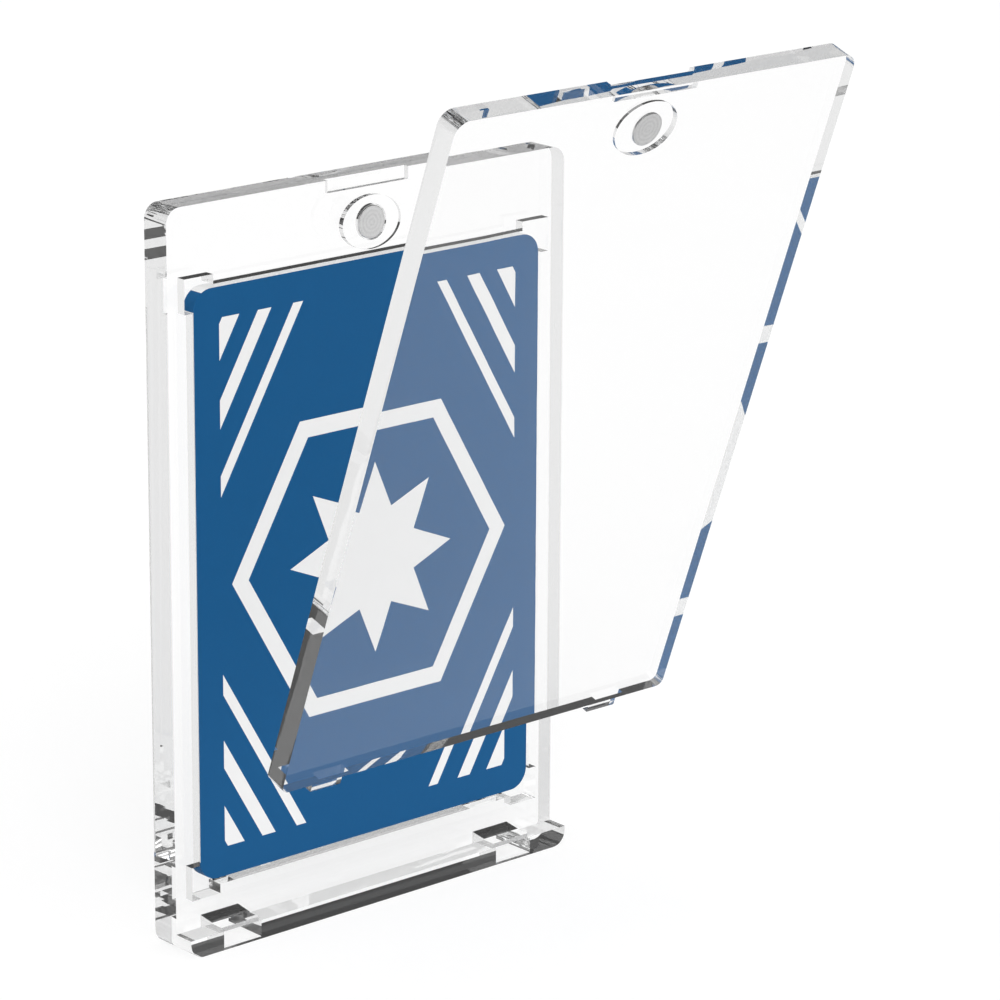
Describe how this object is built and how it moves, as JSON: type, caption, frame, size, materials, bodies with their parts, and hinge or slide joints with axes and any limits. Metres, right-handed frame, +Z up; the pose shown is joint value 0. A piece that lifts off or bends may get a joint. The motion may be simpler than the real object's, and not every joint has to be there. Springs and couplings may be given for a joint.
{
  "type": "trading card display case",
  "caption": "Clear display case that holds a trading card in a shallow pocket, with a lift-off cover that stands in slots and is held shut by magnets.",
  "frame": {"origin": "on the base, at the middle of the width, in the plane where the two shells meet", "axes": "+X to the right, +Y to the back, +Z up along the height of the case"},
  "size_m": [0.0726, 0.066, 0.1331],
  "materials": {
    "clear_plastic": "clear polished acrylic",
    "magnet_metal": "satin nickel plating",
    "printed_card": "printed coated card stock"
  },
  "bodies": {
    "rear_case": {"rear_shell": "clear_plastic", "insert_card": "printed_card", "rear_magnet": "magnet_metal"},
    "front_cover": {"front_shell": "clear_plastic", "front_magnet": "magnet_metal"}
  },
  "joints": [
    {"name": "cover_close", "type": "hinge", "parent": "rear_case", "child": "front_cover", "pos_m": [0, -0.09447, -0.04204], "axis": [1, 0, 0], "range_deg": [-20, 0]}
  ]
}
